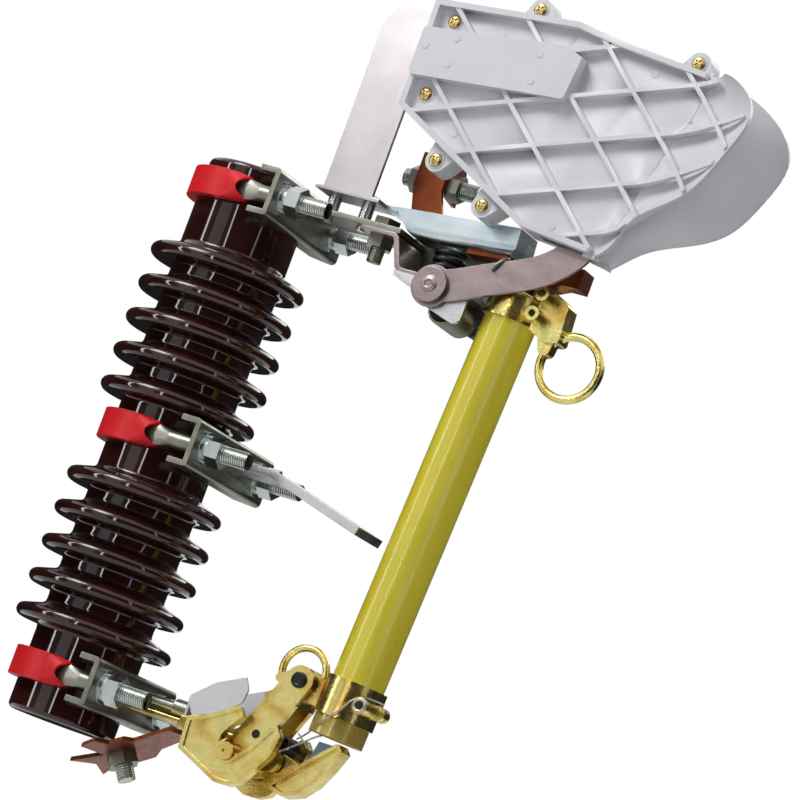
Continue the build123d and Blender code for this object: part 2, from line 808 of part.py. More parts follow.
# Link and trunnion

def toggle_link():
    """Link between the trunnion and the tube clamp's ear: two cheeks with a web across."""
    cheek = hull((trunnion_x, trunnion_z, link_hub), (ear_x, ear_z, ear_radius))
    cheek += hull((trunnion_x, trunnion_z, link_hub), (flip_x, flip_z, flip_hub + 1))
    part = prism(cheek, -link_outer, -link_inner) + prism(cheek, link_inner, link_outer)
    part += rod_y(-link_outer, link_outer, trunnion_x, trunnion_z, link_hub)
    web = loop((ear_x - 21, ear_z - 15), (ear_x - 17, ear_z - 12), (ear_x + 4, ear_z - 12),
               (ear_x + 4, ear_z - 17), (ear_x - 18, ear_z - 20))
    part += prism(web, -link_outer, link_outer)
    part -= rod_y(-link_outer - 1, link_outer + 1, trunnion_x, trunnion_z, trunnion_radius + 0.02)
    part -= rod_y(-link_outer - 1, link_outer + 1, ear_x, ear_z, ear_pin + 0.05)
    part -= rod_y(-link_outer - 1, link_outer + 1, flip_x, flip_z, flip_pin + 0.02)
    return part


def trunnion_pin():
    """Pin that swings in the two hooks, with dimpled ends."""
    end = hook_outer + pin_proud
    part = rod_y(-end, end, trunnion_x, trunnion_z, trunnion_radius)
    for low in (-end - 1, end - pin_dimple):
        part -= rod_y(low, low + 1 + pin_dimple, trunnion_x, trunnion_z, trunnion_radius / 3)
    return part


def flip_lever():
    """Sprung scoop that throws the fuse wire clear when it parts."""
    outer = [(-6, -9), (0, -17), (13, -20), (24, -16), (33, -6), (40, 8), (44.5, 20)]
    inner = [(41, 24), (38.5, 23.5), (18, 3), (9, 6), (-4, 7)]
    scoop = loop(*[(flip_x + x, flip_z + z) for x, z in outer + inner])
    part = prism(scoop + Pos(flip_x, flip_z) * Circle(flip_hub), -flip_half, flip_half)
    pocket = offset(loop(*[(flip_x + x, flip_z + z) for x, z in outer[1:] + inner[:3]]), -flip_rim)
    part -= prism(pocket, -flip_half - 1, -flip_web) + prism(pocket, flip_web, flip_half + 1)
    part -= rod_y(-flip_half - 1, flip_half + 1, flip_x, flip_z, flip_pin + 0.05)
    return part


def flip_pivot():
    """Pin that carries the flip lever between the link's cheeks."""
    return rod_y(-link_outer, link_outer, flip_x, flip_z, flip_pin)


# Lower hooks

def hook_outline():
    """Side view of a hook with its open slot."""
    points = [(-36, 14), (-34.5, -8), (-1.5, -21.5), (9.5, -21), (17, -17), (31.5, 6), (34, 20), (29.5, 25.5),
              (25, 24.5), (15, 8), (7, -1), (-7, -1), (-8, 9), (-3, 17), (3, 25), (-2, 31), (-26, 17)]
    return loop(*[(trunnion_x + x, trunnion_z + z) for x, z in points])


def hook(inner, outer, face):
    """Hook casting with a raised rim round its outward face."""
    outline = hook_outline()
    low, high = min(inner, outer), max(inner, outer)
    part = prism(outline, low, high)
    part -= prism(offset(outline, -hook_rim), min(face, outer), max(face, outer))
    part += rod_y(low, high, trunnion_x, trunnion_z, trunnion_radius + hook_socket)
    part -= prism(hook_mouth(), low - 1, high + 1)
    return part - rod_y(low - 1, high + 1, trunnion_x, trunnion_z, trunnion_radius + hook_slot_gap)


def hook_mouth():
    """Side view of the slot that the trunnion pin drops into."""
    away = radians(hook_slant)
    reach = 2 * hook_rim + 2 * trunnion_radius
    tip = (trunnion_x + reach * cos(away), trunnion_z + reach * sin(away))
    return hull((trunnion_x, trunnion_z, trunnion_radius + hook_slot_gap),
                (tip[0], tip[1], trunnion_radius + hook_slot_gap))


def near_hook():
    """Near hook casting."""
    return hook(-hook_inner, -hook_outer, -hook_outer + hook_recess)


def far_hook():
    """Far hook casting."""
    return hook(hook_inner, hook_outer, hook_outer - hook_recess)


def hook_bracket():
    """Base casting between the hooks, on a bar from the lower channel."""
    left = trunnion_x - 36
    bar_top = trunnion_z + 11
    part = box(outer_web_x, left, -bracket_bar, bracket_bar, bar_top - 4, bar_top)
    part += box(left - bracket_block, left, -hook_inner + 6, hook_inner - 6, terminal_low + copper_gauge,
                bar_top + 3)
    part += box(left, left + 4, -hook_inner, hook_inner, trunnion_z - 4, trunnion_z + 14)
    for near, far in ((-hook_inner, -hook_inner + 4), (hook_inner - 4, hook_inner)):
        part += box(left, trunnion_x - 16, near, far, trunnion_z - 4, trunnion_z + 14)
    return part


def bracket_bolt():
    """Long bolt and spacer from the lower channel to the hooks' base."""
    z = trunnion_z + 11 + bracket_spacer_radius
    right = trunnion_x - 36 - bracket_block
    part = rod_x(outer_web_x, right, 0, z, bracket_bolt_radius)
    return part + rod_x(right - bracket_spacer, right, 0, z, bracket_spacer_radius)


def contact_leaf():
    """Bright sprung wings over the hooks."""
    wing = loop(*[(trunnion_x + x, trunnion_z + z) for x, z in (
        (-42, 23.5), (-41.5, 28.5), (-27, 41), (-7, 50.5), (-2.5, 42.5), (-4, 33.5), (-13, 26), (-26, 19),
        (-36, 15))])
    part = prism(wing, -hook_inner - 1.5, -hook_inner) + prism(wing, hook_inner, hook_inner + 1.5)
    part += box(trunnion_x - 42, trunnion_x - 40, -hook_inner - 1.5, hook_inner + 1.5, trunnion_z + 14.1,
                trunnion_z + 28)
    return part


# Terminals

def upper_terminal():
    """Copper terminal standing in the arm, tapered and folded round to a saddle for the line's lug."""
    x0 = outer_web_x + terminal_start
    x1 = x0 + terminal_width
    foot_low, foot_high = x0 + terminal_foot[0], x0 + terminal_foot[1]
    seat = arm_wall / cos(radians(arm_tilt))
    rim = foot_z + foot_thickness + arm_wall
    top = support_z + support_thickness + arm_wall + terminal_height
    front = loop((foot_low + terminal_cut, arm_under(foot_low + terminal_cut) + seat),
                 (foot_high, arm_under(foot_high) + seat), (x1, top - terminal_ear),
                 (x1, top - terminal_ear / 2), (x0, top - terminal_ear / 2), (x0, top - terminal_ear),
                 (foot_low - arm_wall, rim))
    part = prism(front, terminal_y, terminal_y + copper_gauge)
    back = terminal_y + terminal_ear
    for x in (x0, x1 - copper_gauge):
        ear = Plane((x, 0, 0), x_dir=(0, 1, 0), z_dir=(1, 0, 0)) * loop(
            (terminal_y, top - terminal_ear), (back, top - terminal_ear - 4), (back, top - 8), (back - 8, top),
            (terminal_y, top - 5))
        part += extrude(ear, copper_gauge)
    bolt_z = top - terminal_bolt_drop
    return part - rod_x(x0 - 1, x1 + 1, terminal_y + terminal_ear / 2, bolt_z, terminal_bolt + 0.2)


def upper_terminal_bolt():
    """Bolt through the saddle, with its head and nut."""
    x0 = outer_web_x + terminal_start
    x1 = x0 + terminal_width
    y = terminal_y + terminal_ear / 2
    z = support_z + support_thickness + arm_wall + terminal_height - terminal_bolt_drop
    part = rod_x(x0 - 14, x1 + 21, y, z, terminal_bolt)
    for x in (x0 - terminal_nut, x1):
        part += Pos(x, y, z) * Rot(0, 90, 0) * hexagon(terminal_flats, terminal_nut)
    return part


def upper_contact():
    """Copper strip from under the arm, dipped onto the cap's button and ending in a keeper."""
    x0 = spring_x() + 14
    end = outer_web_x + arm_reach
    dip = tube_top_z + cap_height + cap_button + contact_gap
    t = copper_gauge
    path = [(x0, arm_under(x0) - t), (end - 8, arm_under(end - 8) - t), (end - 2, dip), (end + 24, dip),
            (end + 39, dip + 7), (end + 51, dip + 7)]
    back = [(end + 51, dip + 21), (end + 44, dip + 21), (end + 41, dip + 10 + t), (end + 22, dip + t),
            (end, dip + t), (end - 6, arm_under(end - 6)), (x0, arm_under(x0))]
    return prism(loop(*path, *back), -contact_half, contact_half)


def lower_bolt_place():
    """Where the lower terminal's bolt passes its tail."""
    slope = degrees(atan2(tail_drop, tail_run))
    x = trunnion_x - terminal_right - terminal_flat - tail_run * tail_bolt
    z = terminal_low - tail_drop * tail_bolt
    return Pos(x, 0, z) * Rot(0, 180 - slope, 0)


def lower_terminal():
    """Copper terminal under the hooks, its tail bent down to the line's bolt and notched."""
    x1 = trunnion_x - terminal_right
    x0 = x1 - terminal_flat
    t = copper_gauge
    side = loop((x1, terminal_low), (x1, terminal_low + t), (x0, terminal_low + t),
                (x0 - tail_run, terminal_low + t - tail_drop), (x0 - tail_run, terminal_low - tail_drop),
                (x0, terminal_low))
    notched = [(0, 15), (-17, 17), (-25, 28), (-35, 26), (-39, 12), (-57, 25), (-51, 0), (-57, -25), (-41, -12),
               (-42, -44), (-33, -45), (-31, -30), (-23, -28), (-21, -18), (0, -15)]
    plan = loop((x1, -10), (x1, 10), *[(x0 + x, y) for x, y in notched])
    part = prism(side, -terminal_span, terminal_span)
    part &= Pos(0, 0, terminal_low - 2 * tail_drop) * extrude(plan, 4 * tail_drop)
    return part - lower_bolt_place() * rod_z(-20, 20, 0, 0, terminal_bolt + 0.3)


def lower_terminal_bolt():
    """Bolt through the lower terminal, its head against the tail's underside."""
    return lower_bolt_place() * (hexagon(nut_flats, 8) + rod_z(-10, 18, 0, 0, terminal_bolt))


nodes = {
    "insulator": insulator(),
    "upper_hoop": hoop(upper_z, outer_web_x),
    "middle_hoop": hoop(middle_clamp_z, middle_web_x),
    "lower_hoop": hoop(lower_z, outer_web_x),
    "upper_sleeve": sleeve(upper_z),
    "middle_sleeve": sleeve(middle_clamp_z),
    "lower_sleeve": sleeve(lower_z),
    "upper_channel": channel(upper_z, outer_web_x),
    "middle_channel": channel(middle_clamp_z, middle_web_x),
    "lower_channel": channel(lower_z, outer_web_x),
    "upper_clamp_nuts": clamp_nuts(upper_z, outer_web_x),
    "middle_clamp_nuts": clamp_nuts(middle_clamp_z, middle_web_x),
    "lower_clamp_nuts": clamp_nuts(lower_z, outer_web_x),
    "mounting_plate": mounting_plate(),
    "support_plate": support_plate(),
    "chute_plate": chute_plate(),
    "support_bolts": support_bolts(),
    "upper_arm": upper_arm(),
    "contact_spring": contact_spring(),
    "lever_strap": lever_strap(),
    "strap_bolt": strap_bolt(),
    "lever_bracket": lever_bracket(),
    "lever_pivot": lever_pivot(),
    "load_break_lever": load_break_lever(),
    "chute_near": chute_near(),
    "chute_far": chute_far(),
    "fuse_tube": fuse_tube(),
    "tube_cap": tube_cap(),
    "cap_contact": cap_contact(),
    "tube_clamp": tube_clamp(),
    "end_sleeve": end_sleeve(),
    "lifting_loop": lifting_loop(),
    "ear_rivet": ear_rivet(),
    "toggle_link": toggle_link(),
    "trunnion_pin": trunnion_pin(),
    "flip_lever": flip_lever(),
    "flip_pivot": flip_pivot(),
    "near_hook": near_hook(),
    "far_hook": far_hook(),
    "hook_bracket": hook_bracket(),
    "bracket_bolt": bracket_bolt(),
    "contact_leaf": contact_leaf(),
    "upper_terminal": upper_terminal(),
    "upper_terminal_bolt": upper_terminal_bolt(),
    "upper_contact": upper_contact(),
    "lower_terminal": lower_terminal(),
    "lower_terminal_bolt": lower_terminal_bolt(),
}

for name, part in nodes.items():
    export_step(Pos(-origin_x, 0, -origin_z) * part, f"parts/{name}.step")
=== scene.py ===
import json
import math

import bpy
from mathutils import Matrix, Vector


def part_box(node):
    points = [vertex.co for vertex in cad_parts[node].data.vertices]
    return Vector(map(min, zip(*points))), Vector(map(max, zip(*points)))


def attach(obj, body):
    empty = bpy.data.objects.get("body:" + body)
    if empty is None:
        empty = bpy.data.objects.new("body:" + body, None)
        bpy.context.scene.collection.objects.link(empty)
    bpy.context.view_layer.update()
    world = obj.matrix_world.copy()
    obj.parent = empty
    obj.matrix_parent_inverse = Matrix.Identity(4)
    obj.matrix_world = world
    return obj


# Looks for the drop-out fuse cutout. The part's own frame has Z up along the insulator, X towards the
# fuse tube and Y away from the lever. Lengths are in metres unless a line says millimetres.

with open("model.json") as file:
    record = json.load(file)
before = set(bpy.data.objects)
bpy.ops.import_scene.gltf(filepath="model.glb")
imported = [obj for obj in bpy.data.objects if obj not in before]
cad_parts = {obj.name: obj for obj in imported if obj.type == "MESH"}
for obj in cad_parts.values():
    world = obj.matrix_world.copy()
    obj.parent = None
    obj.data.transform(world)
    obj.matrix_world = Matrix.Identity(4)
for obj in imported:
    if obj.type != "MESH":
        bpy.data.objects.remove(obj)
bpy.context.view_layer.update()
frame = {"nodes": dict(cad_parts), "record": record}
nodes = frame["nodes"]
MM = 0.001

# Camera, worked out from the photograph
FOCAL_MM = 189.0
SENSOR_MM = 36.0
AZIMUTH = 27.0
ELEVATION = -7.5
ROLL = 20.0
DISTANCE = 2.8
TARGET = Vector((0.018789, 0, 0.083028))

# Directions
ALONG_X = (1, 0, 0)
AGAINST_X = (-1, 0, 0)
TO_LEVER_SIDE = (0, -1, 0)
DOWN = (0, 0, -1)

# Radius of the clamp rods, and the outer radius and pitch of each thread
ROD_RADIUS = 5.7 * MM
ROD_THREAD = (6.15 * MM, 1.75 * MM)
BOLT_THREAD = (6.3 * MM, 1.75 * MM)
STRAP_THREAD = (5.3 * MM, 1.5 * MM)


# Material tools

def ramp_nodes(tree, factor, stops):
    """Colour ramp driven by a value."""
    ramp = tree.nodes.new("ShaderNodeValToRGB")
    while len(ramp.color_ramp.elements) < len(stops):
        ramp.color_ramp.elements.new(0.5)
    for element, (place, colour) in zip(ramp.color_ramp.elements, stops):
        element.position = place
        element.color = (*colour, 1)
    tree.links.new(factor, ramp.inputs["Fac"])
    return ramp.outputs["Color"]


def noise(tree, scale, detail=4.0, stretch=(1, 1, 1), distortion=0.0):
    """Noise over the object's own coordinates, in features per metre."""
    place = tree.nodes.new("ShaderNodeTexCoord")
    mapping = tree.nodes.new("ShaderNodeMapping")
    mapping.inputs["Scale"].default_value = stretch
    texture = tree.nodes.new("ShaderNodeTexNoise")
    texture.inputs["Scale"].default_value = scale
    texture.inputs["Detail"].default_value = detail
    texture.inputs["Distortion"].default_value = distortion
    tree.links.new(place.outputs["Object"], mapping.inputs["Vector"])
    tree.links.new(mapping.outputs["Vector"], texture.inputs["Vector"])
    return texture.outputs["Fac"]


def spread(tree, value, low, high):
    """A value from 0.3 to 0.7 stretched to the range low to high."""
    node = tree.nodes.new("ShaderNodeMapRange")
    node.inputs["From Min"].default_value = 0.3
    node.inputs["From Max"].default_value = 0.7
    node.inputs["To Min"].default_value = low
    node.inputs["To Max"].default_value = high
    tree.links.new(value, node.inputs["Value"])
    return node.outputs["Result"]


def bump_nodes(tree, relief, strength):
    """Fine relief up to 0.4 mm deep."""
    node = tree.nodes.new("ShaderNodeBump")
    node.inputs["Strength"].default_value = strength
    node.inputs["Distance"].default_value = 0.4 * MM
    tree.links.new(relief, node.inputs["Height"])
    return node.outputs["Normal"]


def surface(name, colours, rough, metallic=0.0, scale=60.0, stretch=(1, 1, 1), bump=0.0, bump_scale=900.0,
            coat=0.0, coat_rough=0.1, specular=0.5, detail=4.0, distortion=0.0, subsurface=0.0):
    """Principled material whose colour and roughness vary with noise."""
    made = bpy.data.materials.new(name)
    made.use_nodes = True
    tree = made.node_tree
    shader = tree.nodes["Principled BSDF"]
    shader.inputs["Metallic"].default_value = metallic
    shader.inputs["Specular IOR Level"].default_value = specular
    shader.inputs["Coat Weight"].default_value = coat
    shader.inputs["Coat Roughness"].default_value = coat_rough
    if subsurface:
        shader.inputs["Subsurface Weight"].default_value = subsurface
        shader.inputs["Subsurface Radius"].default_value = (4 * MM, 4 * MM, 4 * MM)
        shader.inputs["Subsurface Scale"].default_value = 1.0
    mottle = noise(tree, scale, detail, stretch, distortion)
    stops = [(0.32 + 0.36 * i / (len(colours) - 1), colour) for i, colour in enumerate(colours)]
    tree.links.new(ramp_nodes(tree, mottle, stops), shader.inputs["Base Color"])
    grain = noise(tree, scale * 3.1, 3.0, stretch)
    tree.links.new(spread(tree, grain, *rough), shader.inputs["Roughness"])
    if bump:
        relief = noise(tree, bump_scale, 3.0, stretch)
        tree.links.new(bump_nodes(tree, relief, bump), shader.inputs["Normal"])
    return made


# The first nine are the record's material slots, and the rest are for single pieces
look = {
    "porcelain": surface(
        "porcelain_glaze", [(0.020, 0.004, 0.004), (0.032, 0.007, 0.006), (0.046, 0.011, 0.009)],
        (0.03, 0.07), scale=35, coat=0.25, coat_rough=0.03, specular=0.42, bump=0.025, bump_scale=160),
    "galvanised": surface(
        "zinc_dull", [(0.19, 0.19, 0.150), (0.23, 0.23, 0.190), (0.28, 0.275, 0.235)], (0.30, 0.40),
        metallic=0.9, scale=70, bump=0.06, bump_scale=1500),
    "bright_steel": surface(
        "zinc_bright", [(0.52, 0.52, 0.54), (0.58, 0.58, 0.60), (0.62, 0.61, 0.63)], (0.24, 0.32),
        metallic=1.0, scale=18, stretch=(1, 1, 3), bump=0.04, bump_scale=1100, distortion=0.3),
    "black_steel": surface(
        "black_spring", [(0.010, 0.010, 0.012), (0.03, 0.03, 0.032)], (0.25, 0.42),
        metallic=0.6, scale=300),
    "red_sleeve": surface(
        "red_sleeve_plastic", [(0.76, 0.008, 0.014), (0.84, 0.013, 0.022)], (0.34, 0.44),
        scale=60, specular=0.25, bump=0.04, bump_scale=500),
    "white_plastic": surface(
        "white_moulding", [(0.72, 0.72, 0.745), (0.75, 0.75, 0.775), (0.78, 0.78, 0.80)], (0.38, 0.50),
        scale=25, bump=0.04, bump_scale=1600, subsurface=0.05),
    "yellow_tube": surface(
        "tube_lacquer", [(0.78, 0.66, 0.030), (0.82, 0.70, 0.038), (0.86, 0.74, 0.050)], (0.20, 0.30),
        scale=26, stretch=(4, 4, 0.6), coat=0.5, coat_rough=0.2, bump=0.05, bump_scale=420),
    "passivated": surface(
        "gold_passivation",
        [(0.50, 0.31, 0.07), (0.66, 0.50, 0.15), (0.73, 0.62, 0.23), (0.60, 0.56, 0.20)],
        (0.17, 0.28), metallic=1.0, scale=55, detail=6.0, bump=0.40, bump_scale=700, distortion=0.4),
    "copper": surface(
        "brown_copper", [(0.13, 0.028, 0.006), (0.18, 0.038, 0.008), (0.23, 0.052, 0.012)], (0.32, 0.46),
        metallic=0.75, scale=60, bump=0.10, bump_scale=700),
    "screw_brass": surface(
        "screw_brass", [(0.34, 0.25, 0.09), (0.58, 0.44, 0.18)], (0.18, 0.32), metallic=1.0, scale=400),
    "sleeve_gold": surface(
        "end_sleeve_gold", [(0.46, 0.33, 0.06), (0.55, 0.41, 0.09)], (0.22, 0.36),
        metallic=0.35, scale=80, coat=0.3),
    # Painted shade: near-black for the insides of holes and hollows, where little light reaches. The dark
    # reflection flags use it too.
    "painted_hole_shade_and_flag_black": surface(
        "painted_hole_shade_and_flag_black", [(0.004, 0.004, 0.004), (0.010, 0.010, 0.010)], (0.25, 0.4),
        scale=300, metallic=0.3),
    "pink_zinc": surface(
        "zinc_pink", [(0.26, 0.205, 0.205), (0.30, 0.24, 0.24), (0.34, 0.275, 0.275)], (0.26, 0.34),
        metallic=0.9, scale=45, stretch=(1, 1, 2), bump=0.08, bump_scale=1500),
    "pale_nut": surface(
        "zinc_nut", [(0.46, 0.51, 0.51), (0.52, 0.56, 0.56)], (0.22, 0.28), metallic=1.0, scale=60),
    "blue_zinc": surface(
        "zinc_blue", [(0.40, 0.48, 0.53), (0.50, 0.58, 0.62), (0.58, 0.64, 0.66)], (0.20, 0.28),
        metallic=1.0, scale=22, stretch=(1, 1, 2), bump=0.05, bump_scale=1100),
    "plate_zinc": surface(
        "zinc_plate", [(0.42, 0.385, 0.395), (0.46, 0.43, 0.44), (0.50, 0.475, 0.48)], (0.28, 0.34),
        metallic=0.95, scale=30, bump=0.03, bump_scale=1200),
    "pale_washer": surface(
        "washer_pale", [(0.40, 0.35, 0.22), (0.58, 0.52, 0.36)], (0.25, 0.36), metallic=0.9, scale=300),
    "blue_leaf": surface(
        "leaf_blue_steel", [(0.13, 0.18, 0.23), (0.19, 0.25, 0.31)], (0.28, 0.40), metallic=0.8, scale=90),
    "bare_wire": surface(
        "bare_wire", [(0.26, 0.26, 0.25), (0.40, 0.40, 0.39)], (0.22, 0.36), metallic=1.0, scale=500),
}

# CAD nodes whose look isn't their slot's
OWN_LOOK = {
    "load_break_lever": "pink_zinc", "lever_pivot": "pink_zinc", "lever_strap": "pink_zinc",
    "end_sleeve": "sleeve_gold", "mounting_plate": "bright_steel", "chute_plate": "plate_zinc",
    "upper_arm": "blue_zinc", "ear_rivet": "black_steel", "upper_clamp_nuts": "pale_nut",
    "middle_clamp_nuts": "pale_nut", "lower_clamp_nuts": "pale_nut",
}

# Bevel width in millimetres for each CAD node that doesn't take the default
BEVELS = {
    "insulator": 0, "contact_spring": 0, "fuse_tube": 0.5, "chute_near": 0.5, "chute_far": 0.5,
    "tube_cap": 0.9, "tube_clamp": 0.9, "near_hook": 0.8, "far_hook": 0.8, "toggle_link": 0.8,
    "flip_lever": 0.8, "hook_bracket": 0.8, "upper_sleeve": 0.6, "middle_sleeve": 0.6, "lower_sleeve": 0.6,
}
DEFAULT_BEVEL = 0.4


def soften(obj, width):
    """Small rounded edges, with shading that follows the large faces."""
    if width:
        bevel = obj.modifiers.new("bevel", "BEVEL")
        bevel.width = width * MM
        bevel.segments = 2
        bevel.limit_method = "ANGLE"
        bevel.angle_limit = math.radians(38)
        bevel.use_clamp_overlap = True
    normals = obj.modifiers.new("normals", "WEIGHTED_NORMAL")
    normals.keep_sharp = False
    normals.weight = 60


def dress_cad():
    """Material, softened edges and smooth shading for every CAD node."""
    for row in frame["record"]["subparts"]:
        name = row["node"]
        obj = nodes[name]
        obj.data.materials.clear()
        obj.data.materials.append(look[OWN_LOOK.get(name, row["material_slot"])])
        for polygon in obj.data.polygons:
            polygon.material_index = 0
            polygon.use_smooth = True
        if "custom_normal" in obj.data.attributes:
            obj.data.attributes.remove(obj.data.attributes["custom_normal"])
        weld = obj.modifiers.new("weld", "WELD")
        weld.merge_threshold = 0.002 * MM
        soften(obj, BEVELS.get(name, DEFAULT_BEVEL))


dress_cad()


# Mesh tools

def mm(*place):
    """Point given in millimetres."""
    return Vector(place) * MM


def middle(low, high):
    """Centre of a box."""
    return (low + high) / 2


def add_mesh(name, verts, faces, material, body):
    """New piece from points and faces, riding on a CAD body."""
    mesh = bpy.data.meshes.new(name)
    mesh.from_pydata([tuple(v) for v in verts], [], faces)
    mesh.validate()
    for polygon in mesh.polygons:
        polygon.use_smooth = True
    mesh.materials.append(look[material])
    obj = bpy.data.objects.new(name, mesh)
    bpy.context.scene.collection.objects.link(obj)
    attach(obj, body)
    return obj


def plate(name, outline, low_y, high_y, material, body):
    """Flat plate whose outline, in millimetres, lies in X and Z."""
    count = len(outline)
    verts = [mm(x, y, z) for y in (low_y, high_y) for x, z in outline]
    faces = [tuple(range(count)), tuple(reversed(range(count, 2 * count)))]
    faces += [(i, (i + 1) % count, count + (i + 1) % count, count + i) for i in range(count)]
    obj = add_mesh(name, verts, faces, material, body)
    bevel = obj.modifiers.new("bevel", "BEVEL")
    bevel.width = 0.3 * MM
    bevel.segments = 2
    normals = obj.modifiers.new("normals", "WEIGHTED_NORMAL")
    normals.keep_sharp = False


def frame_along(axis):
    """An axis and two directions across it."""
    axis = Vector(axis).normalized()
    side = axis.orthogonal().normalized()
    return axis, side, axis.cross(side)


def ring(centre, side, up, radius, sides):
    """Points of a circle, spanned by two directions."""
    turns = [2 * math.pi * k / sides for k in range(sides)]
    return [centre + radius * (side * math.cos(turn) + up * math.sin(turn)) for turn in turns]


def skin(rows, sides, first=0):
    """Faces between neighbouring rings of points."""
    faces = []
    for i in range(rows):
        for k in range(sides):
            a = first + i * sides
            n = (k + 1) % sides
            faces.append((a + k, a + n, a + sides + n, a + sides + k))
    return faces


def turned_over(faces):
    """Four-sided faces wound the other way from the same first point."""
    return [(a, d, c, b) for a, b, c, d in faces]


def closed_skin(rows, sides):
    """Faces between rings, with both ends closed."""
    ends = [tuple(reversed(range(sides))), tuple(rows * sides + k for k in range(sides))]
    return skin(rows, sides) + ends


def tube_mesh(path, radius, sides):
    """Points and faces of a round wire along a path, with closed ends."""
    verts = []
    count = len(path)
    side = None
    for i, point in enumerate(path):
        ahead = path[min(i + 1, count - 1)] - path[max(i - 1, 0)]
        ahead.normalize()
        if side is None:
            side = ahead.orthogonal().normalized()
        else:
            side = (side - ahead * side.dot(ahead)).normalized()
        verts += ring(point, side, ahead.cross(side), radius, sides)
    return verts, closed_skin(count - 1, sides)


def smooth_path(points, steps=8):
    """Catmull-Rom curve through points."""
    pts = [2 * points[0] - points[1]] + points + [2 * points[-1] - points[-2]]
    path = []
    for a, b, c, d in zip(pts, pts[1:], pts[2:], pts[3:]):
        for s in range(steps):
            t = s / steps
            path.append(0.5 * (2 * b + (c - a) * t + (2 * a - 5 * b + 4 * c - d) * t * t
                               + (3 * b - 3 * c + d - a) * t ** 3))
    return path + [pts[-2]]


def wire(name, points, radius, material, body):
    """Round wire through points, all in millimetres."""
    path = smooth_path([mm(*point) for point in points])
    verts, faces = tube_mesh(path, radius * MM, 12)
    add_mesh(name, verts, faces, material, body)


def coil(name, centre, half_width, radius, wire_radius, turns, material, body):
    """Coil spring about an axis along Y, its lengths in millimetres."""
    points_per_turn = 16
    steps = points_per_turn * turns
    path = []
    for i in range(steps + 1):
        angle = 2 * math.pi * i / points_per_turn
        y = half_width * (2 * i / steps - 1)
        path.append(mm(centre[0] + radius * math.cos(angle), y, centre[1] + radius * math.sin(angle)))
    verts, faces = tube_mesh(path, wire_radius * MM, 10)
    add_mesh(name, verts, faces, material, body)


# Threads on the clamp rods and bolts

def thread(name, start, axis, length, size, material="pale_nut"):
    """Screw thread round a rod, drawn as a surface whose radius follows the helix."""
    axis, side, up = frame_along(axis)
    radius, pitch = size
    sides, rows_per_turn = 28, 5
    rows = int(length / pitch * rows_per_turn)
    depth = 0.42 * pitch
    verts = []
    for i in range(rows + 1):
        along = length * i / rows
        fade = min(1.0, (length - along) / pitch)
        for k in range(sides):
            turn = k / sides
            wave = abs(((along / pitch - turn) % 1.0) * 2 - 1)
            r = radius - depth * (1 - fade * (1 - wave))
            angle = 2 * math.pi * turn
            verts.append(Vector(start) + axis * along + r * (side * math.cos(angle) + up * math.sin(angle)))
    add_mesh(name, verts, closed_skin(rows, sides), material, "frame")


def rod_threads():
    """Threaded ends of the six clamp rods."""
    for level in ("upper", "middle", "lower"):
        low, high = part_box(level + "_hoop")
        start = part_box(level + "_channel")[1].x + 2 * MM
        reach = high.y - ROD_RADIUS
        for side, y in (("near", -reach), ("far", reach)):
            thread(f"{level}_{side}_thread", (start, y, middle(low, high).z), ALONG_X, high.x - start,
                   ROD_THREAD)


def bolt_threads():
    """Threads on the terminal bolts and the strap bolt."""
    low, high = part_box("upper_terminal_bolt")
    centre = middle(low, high)
    thread("terminal_left_thread", (low.x + 6.5 * MM, centre.y, centre.z), AGAINST_X, 6.6 * MM, BOLT_THREAD)
    thread("terminal_right_thread", (high.x - 13 * MM, centre.y, centre.z), ALONG_X, 13.1 * MM, BOLT_THREAD)
    low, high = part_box("strap_bolt")
    centre = middle(low, high)
    thread("strap_bolt_thread", (centre.x, centre.y, low.z + 10 * MM), DOWN, 10.2 * MM, STRAP_THREAD,
           "galvanised")
    thread("lower_bolt_thread", mm(-81.9, 0, -206.7), (0.581, 0, -0.814), 10.2 * MM, BOLT_THREAD)


rod_threads()
bolt_threads()


# Round heads and hollows, whose height over their face is height(r, angle), with r from 0 to 1

def dial(name, centre, radius, height, material, body, depth):
    """Round head that faces the lever's side, with a skirt down behind it."""
    axis, side, up = frame_along(TO_LEVER_SIDE)
    centre = Vector(centre)
    rings, sides = 24, 48
    verts = [centre + axis * height(0.0, 0.0)]
    for i in range(1, rings + 1):
        r = radius * i / rings
        for k in range(sides):
            angle = 2 * math.pi * k / sides
            verts.append(centre + axis * height(r / radius, angle)
                         + r * (side * math.cos(angle) + up * math.sin(angle)))
    verts += ring(centre - axis * depth, side, up, radius, sides)
    faces = [(0, 1 + k, 1 + (k + 1) % sides) for k in range(sides)]
    faces += turned_over(skin(rings, sides, 1))
    faces.append(tuple(reversed([1 + rings * sides + k for k in range(sides)])))
    add_mesh(name, verts, faces, material, body)


def cross_recess(r, angle):
    """Domed screw head with a cross cut in it."""
    dome = 1.9 * MM * math.sqrt(1 - (0.92 * r) ** 2)
    arm = abs(math.sin(2 * angle)) * r
    return dome - (1.1 * MM if arm < 0.22 and r < 0.62 else 0)


def screw_seat(r, angle):
    """Low collar round a screw."""
    return 0.5 * MM if 0.74 < r < 0.98 else 0.1 * MM


def ejector_mark(r, angle):
    """Faint raised disc that a mould's ejector pin leaves."""
    return 0.35 * MM if r < 0.85 else 0.05 * MM


def hex_socket(r, angle):
    """Flat washer head with a low round nub, its edge raised round a hexagonal hollow."""
    turn = (angle % (math.pi / 3)) - math.pi / 6
    if r > 0.42:
        return 0.0
    return 0.5 * MM if r < 0.2 / math.cos(turn) else (1.3 * MM if r < 0.30 else 0.9 * MM)


def raised_ring(r, angle):
    """Washer with a round rim and a sunk middle."""
    return 0.2 * MM + 0.9 * MM * math.sin(math.pi * max(0.0, (r - 0.45) / 0.55))


